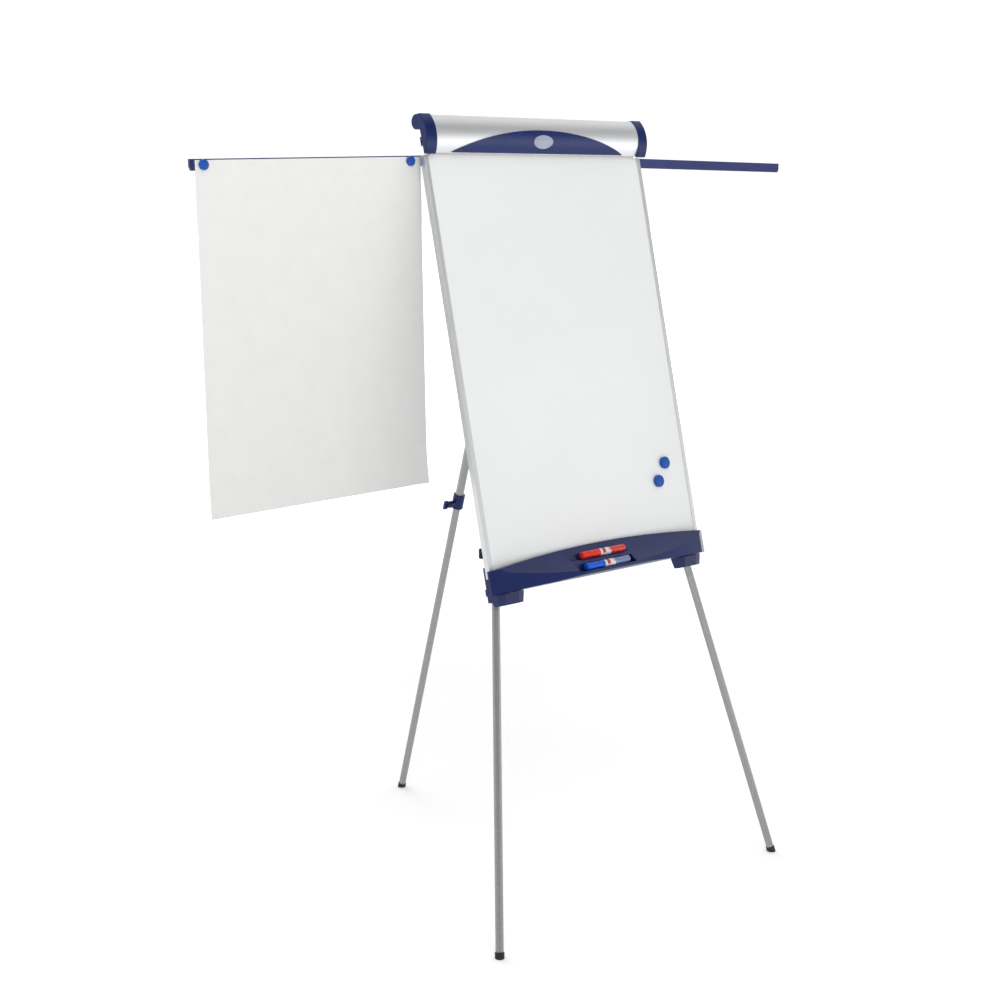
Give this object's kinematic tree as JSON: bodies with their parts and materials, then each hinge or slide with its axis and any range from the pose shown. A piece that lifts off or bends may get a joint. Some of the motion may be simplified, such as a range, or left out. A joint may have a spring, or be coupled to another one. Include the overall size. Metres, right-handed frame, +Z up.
{
  "type": "flipchart easel",
  "caption": "Tripod flipchart easel: tilted magnetic whiteboard, hinged pad clamp, pen tray, sliding display arms with a hung sheet, telescopic folding legs.",
  "frame": {"origin": "on the floor under the middle of the whole easel as it stands, arms out", "axes": "+X to the user's right along the board, +Y to the back towards the rear leg, +Z up"},
  "size_m": [1.86, 1.0026, 1.8553],
  "materials": {
    "anodised_aluminium": "silver anodised",
    "black_rubber": "moulded rubber",
    "blue_magnet_shell": "glossy",
    "blue_plastic": "glossy",
    "board_core": "paper honeycomb core",
    "galvanised_steel": "galvanised steel",
    "navy_abs": "fine satin ABS",
    "navy_painted_steel": "satin powder coat",
    "paper": "uncoated paper",
    "pen_barrel_blue": "clear tinted",
    "pen_barrel_red": "clear tinted",
    "red_plastic": "glossy",
    "silver_painted_steel": "silver powder coat",
    "white_enamel": "gloss enamelled steel",
    "zinc_plated_steel": "bright zinc"
  },
  "bodies": {
    "board": {"arm_guide_left": "navy_abs", "arm_guide_right": "navy_abs", "board_back": "galvanised_steel", "board_core": "board_core", "board_face": "white_enamel", "board_screws": "zinc_plated_steel", "clamp_axle": "galvanised_steel", "clamp_bearing_left": "navy_abs", "clamp_bearing_right": "navy_abs", "clamp_spring_left": "galvanised_steel", "clamp_spring_right": "galvanised_steel", "frame_bottom": "anodised_aluminium", "frame_left": "anodised_aluminium", "frame_right": "anodised_aluminium", "frame_top": "anodised_aluminium", "front_left_collar": "navy_abs", "front_left_upper_tube": "silver_painted_steel", "front_right_collar": "navy_abs", "front_right_upper_tube": "silver_painted_steel", "hook_rail": "galvanised_steel", "leg_bracket_left": "navy_abs", "leg_bracket_right": "navy_abs", "leg_hinge_block": "navy_abs", "leg_hinge_pin": "zinc_plated_steel", "pen_rest": "navy_abs", "pen_tray": "navy_abs", "top_rail": "galvanised_steel", "tube_saddles": "navy_abs"},
    "pad_clamp": {"clamp_cover": "anodised_aluminium", "clamp_cap_left": "navy_abs", "clamp_cap_right": "navy_abs", "clamp_inlay": "navy_abs", "clamp_grip_strip": "black_rubber"},
    "pad_hook_left": {"pad_hook_left": "navy_abs"},
    "pad_hook_right": {"pad_hook_right": "navy_abs"},
    "left_arm": {"left_arm": "navy_painted_steel", "left_arm_end": "navy_abs", "paper_sheet": "paper"},
    "right_arm": {"right_arm": "navy_painted_steel", "right_arm_end": "navy_abs"},
    "arm_magnet_outer": {"arm_magnet_outer": "blue_magnet_shell"},
    "arm_magnet_inner": {"arm_magnet_inner": "blue_magnet_shell"},
    "board_magnet_upper": {"board_magnet_upper": "blue_magnet_shell"},
    "board_magnet_lower": {"board_magnet_lower": "blue_magnet_shell"},
    "front_left_lower_leg": {"front_left_lower_tube": "silver_painted_steel", "front_left_foot": "black_rubber"},
    "front_right_lower_leg": {"front_right_lower_tube": "silver_painted_steel", "front_right_foot": "black_rubber"},
    "rear_leg": {"rear_upper_tube": "silver_painted_steel", "rear_leg_knuckle": "navy_abs", "rear_collar": "navy_abs"},
    "rear_lower_leg": {"rear_lower_tube": "silver_painted_steel", "rear_foot": "black_rubber"},
    "front_left_lever": {"front_left_lever": "navy_abs"},
    "front_right_lever": {"front_right_lever": "navy_abs"},
    "rear_lever": {"rear_lever": "navy_abs"},
    "red_pen": {"red_pen_barrel": "pen_barrel_red"},
    "red_pen_cap": {"red_pen_cap": "red_plastic"},
    "blue_pen": {"blue_pen_barrel": "pen_barrel_blue"},
    "blue_pen_cap": {"blue_pen_cap": "blue_plastic"}
  },
  "joints": [
    {"name": "clamp_open", "type": "hinge", "parent": "board", "child": "pad_clamp", "pos_m": [0, -0.05415, 1.83639], "axis": [-1, 0, 0], "range_deg": [0, 35], "stiffness_Nm_per_rad": 1.2, "springref_deg": -25.21},
    {"name": "hook_left_slide", "type": "slide", "parent": "board", "child": "pad_hook_left", "axis": [1, 0, 0], "range_m": [-0.06, 0.06]},
    {"name": "hook_right_slide", "type": "slide", "parent": "board", "child": "pad_hook_right", "axis": [1, 0, 0], "range_m": [-0.06, 0.06]},
    {"name": "left_arm_slide", "type": "slide", "parent": "board", "child": "left_arm", "axis": [0.9997, 0, 0.0243], "range_m": [0, 0.56]},
    {"name": "right_arm_slide", "type": "slide", "parent": "board", "child": "right_arm", "axis": [-0.9999, 0, 0.0133], "range_m": [0, 0.56]},
    {"name": "arm_magnet_outer_pull", "type": "slide", "parent": "left_arm", "child": "arm_magnet_outer", "axis": [0, 1, 0], "range_m": [-0.03, 0]},
    {"name": "arm_magnet_inner_pull", "type": "slide", "parent": "left_arm", "child": "arm_magnet_inner", "axis": [0, 1, 0], "range_m": [-0.03, 0]},
    {"name": "board_magnet_upper_pull", "type": "slide", "parent": "board", "child": "board_magnet_upper", "axis": [0, -0.9694, 0.2453], "range_m": [0, 0.04]},
    {"name": "board_magnet_lower_pull", "type": "slide", "parent": "board", "child": "board_magnet_lower", "axis": [0, -0.9694, 0.2453], "range_m": [0, 0.04]},
    {"name": "front_left_leg_slide", "type": "slide", "parent": "board", "child": "front_left_lower_leg", "axis": [0.1848, 0.2411, 0.9528], "range_m": [0, 0.69]},
    {"name": "front_right_leg_slide", "type": "slide", "parent": "board", "child": "front_right_lower_leg", "axis": [-0.1848, 0.2411, 0.9528], "range_m": [0, 0.69]},
    {"name": "rear_leg_fold", "type": "hinge", "parent": "board", "child": "rear_leg", "pos_m": [0, -0.014, 1.8], "axis": [1, 0, 0], "range_deg": [-26, 0]},
    {"name": "rear_leg_slide", "type": "slide", "parent": "rear_leg", "child": "rear_lower_leg", "axis": [0, -0.2847, 0.9586], "range_m": [0, 0.69]},
    {"name": "front_left_lever_turn", "type": "hinge", "parent": "board", "child": "front_left_lever", "pos_m": [-0.33018, -0.27018, 0.86851], "axis": [-0.9828, 0.0453, 0.1791], "range_deg": [0, 90]},
    {"name": "front_right_lever_turn", "type": "hinge", "parent": "board", "child": "front_right_lever", "pos_m": [0.33018, -0.27018, 0.86851], "axis": [0.9828, 0.0453, 0.1791], "range_deg": [0, 90]},
    {"name": "rear_lever_turn", "type": "hinge", "parent": "rear_leg", "child": "rear_lever", "pos_m": [-0.035, 0.23236, 0.86755], "axis": [-1, 0, 0], "range_deg": [0, 90]},
    {"name": "red_pen_lift", "type": "slide", "parent": "board", "child": "red_pen", "axis": [0, -0.5738, 0.819], "range_m": [0, 0.08]},
    {"name": "red_pen_cap_pull", "type": "slide", "parent": "red_pen", "child": "red_pen_cap", "axis": [-1, 0, 0], "range_m": [0, 0.026]},
    {"name": "blue_pen_lift", "type": "slide", "parent": "board", "child": "blue_pen", "axis": [0, -0.5738, 0.819], "range_m": [0, 0.08]},
    {"name": "blue_pen_cap_pull", "type": "slide", "parent": "blue_pen", "child": "blue_pen_cap", "axis": [-1, 0, 0], "range_m": [0, 0.026]}
  ]
}
